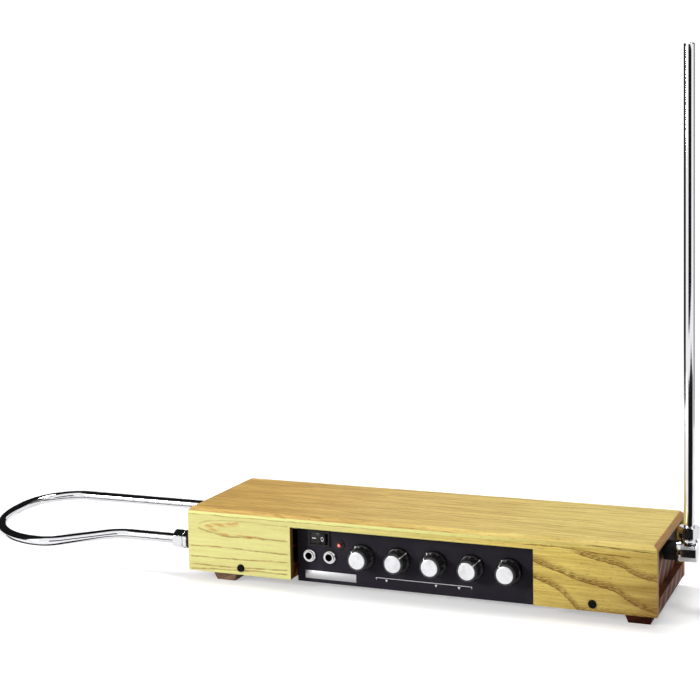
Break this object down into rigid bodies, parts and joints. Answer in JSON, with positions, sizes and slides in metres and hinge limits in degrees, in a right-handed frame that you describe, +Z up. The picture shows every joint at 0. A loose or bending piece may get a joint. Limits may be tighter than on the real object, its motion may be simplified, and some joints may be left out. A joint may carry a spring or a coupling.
{
  "type": "theremin",
  "caption": "Theremin: flat wooden cabinet with a recessed black knob panel, an upright pitch rod on one end and a horizontal volume loop on the other",
  "frame": {"origin": "axis of the stand thread, in the plane of the cabinet's underside, 9.5 mm above the surface the feet stand on", "axes": "+X right, to the pitch rod; +Y back, away from the control panel; +Z up"},
  "size_m": [0.7095, 0.1632, 0.4905],
  "materials": {
    "maple_top": "satin",
    "maple_front": "satin",
    "dark_wood": "satin",
    "base_wood": "matte",
    "strip_wood": "matte",
    "black_sheet": "matte",
    "black_steel": "satin",
    "zinc_steel": "satin",
    "chrome_tube": "polished",
    "nickel": "satin",
    "pot_case": "satin",
    "brass_nut": "satin",
    "black_plastic": "gloss",
    "black_rubber": "matte",
    "knob_grey": "satin",
    "cap_silver": "spun",
    "led_red": "gloss",
    "board_green": "gloss",
    "nylon": "matte",
    "coil_copper": "satin",
    "can_blue": "gloss",
    "chip_black": "matte",
    "wire_red": "matte"
  },
  "bodies": {
    "cabinet": {"cover_top": "maple_top", "cover_front": "maple_front", "cover_back": "maple_front", "glue_blocks": "strip_wood", "base_board": "base_wood", "end_panel_left": "dark_wood", "end_panel_right": "dark_wood", "foot_front_left": "dark_wood", "foot_front_right": "dark_wood", "foot_rear_left": "dark_wood", "foot_rear_right": "dark_wood", "cover_screws": "black_steel", "wood_screws": "zinc_steel", "control_panel": "black_sheet", "stand_flange": "zinc_steel", "switch_housing": "black_plastic", "led_bezel": "black_plastic", "power_led": "led_red", "line_jack": "black_plastic", "phones_jack": "black_plastic", "cv_jacks": "black_plastic", "jack_nuts": "chrome_tube", "dc_inlet": "black_plastic", "headphone_pot": "pot_case", "volume_pot": "pot_case", "pitch_pot": "pot_case", "waveform_pot": "pot_case", "brightness_pot": "pot_case", "pot_nuts": "nickel", "main_board": "board_green", "board_standoffs": "nylon", "tuning_coils": "coil_copper", "capacitors": "can_blue", "chips": "chip_black", "pitch_elbow": "chrome_tube", "volume_fitting": "chrome_tube", "fitting_spacers": "black_rubber", "lock_nuts": "brass_nut", "loop_socket": "black_plastic", "antenna_leads": "wire_red"},
    "headphone_control": {"headphone_shaft": "nickel", "headphone_knob": "knob_grey", "headphone_cap": "cap_silver"},
    "volume_control": {"volume_shaft": "nickel", "volume_knob": "knob_grey", "volume_cap": "cap_silver"},
    "pitch_control": {"pitch_shaft": "nickel", "pitch_knob": "knob_grey", "pitch_cap": "cap_silver"},
    "waveform_control": {"waveform_shaft": "nickel", "waveform_knob": "knob_grey", "waveform_cap": "cap_silver"},
    "brightness_control": {"brightness_shaft": "nickel", "brightness_knob": "knob_grey", "brightness_cap": "cap_silver"},
    "power_rocker": {"switch_rocker": "black_plastic"},
    "pitch_antenna": {"pitch_rod": "chrome_tube"},
    "pitch_clamp": {"pitch_nut": "chrome_tube"},
    "volume_antenna": {"volume_loop": "chrome_tube"},
    "volume_clamp": {"volume_nut": "chrome_tube"}
  },
  "joints": [
    {"name": "headphone_turn", "type": "hinge", "parent": "cabinet", "child": "headphone_control", "pos_m": [-0.0493, -0.052, 0.024], "axis": [0, 1, 0], "range_deg": [-115, 185]},
    {"name": "volume_turn", "type": "hinge", "parent": "cabinet", "child": "volume_control", "pos_m": [-0.0145, -0.052, 0.024], "axis": [0, 1, 0], "range_deg": [-198, 102]},
    {"name": "pitch_turn", "type": "hinge", "parent": "cabinet", "child": "pitch_control", "pos_m": [0.0203, -0.052, 0.024], "axis": [0, 1, 0], "range_deg": [-115, 185]},
    {"name": "waveform_turn", "type": "hinge", "parent": "cabinet", "child": "waveform_control", "pos_m": [0.0551, -0.052, 0.024], "axis": [0, 1, 0], "range_deg": [-198, 102]},
    {"name": "brightness_turn", "type": "hinge", "parent": "cabinet", "child": "brightness_control", "pos_m": [0.0899, -0.052, 0.024], "axis": [0, 1, 0], "range_deg": [-115, 185]},
    {"name": "power_rock", "type": "hinge", "parent": "cabinet", "child": "power_rocker", "pos_m": [-0.0923, -0.0496, 0.0375], "axis": [0, 0, 1], "range_deg": [0, 20]},
    {"name": "pitch_antenna_lift", "type": "slide", "parent": "cabinet", "child": "pitch_antenna", "axis": [0, 0, 1], "range_m": [0, 0.011]},
    {"name": "pitch_clamp_turn", "type": "hinge", "parent": "cabinet", "child": "pitch_clamp", "pos_m": [0.2375, 0, 0.058], "axis": [0, 0, 1], "range_deg": [0, 360]},
    {"name": "volume_antenna_pull", "type": "slide", "parent": "cabinet", "child": "volume_antenna", "axis": [-1, 0, 0], "range_m": [0, 0.013]},
    {"name": "volume_clamp_turn", "type": "hinge", "parent": "cabinet", "child": "volume_clamp", "pos_m": [-0.241, -0.0478, 0.0236], "axis": [-1, 0, 0], "range_deg": [0, 360]}
  ]
}
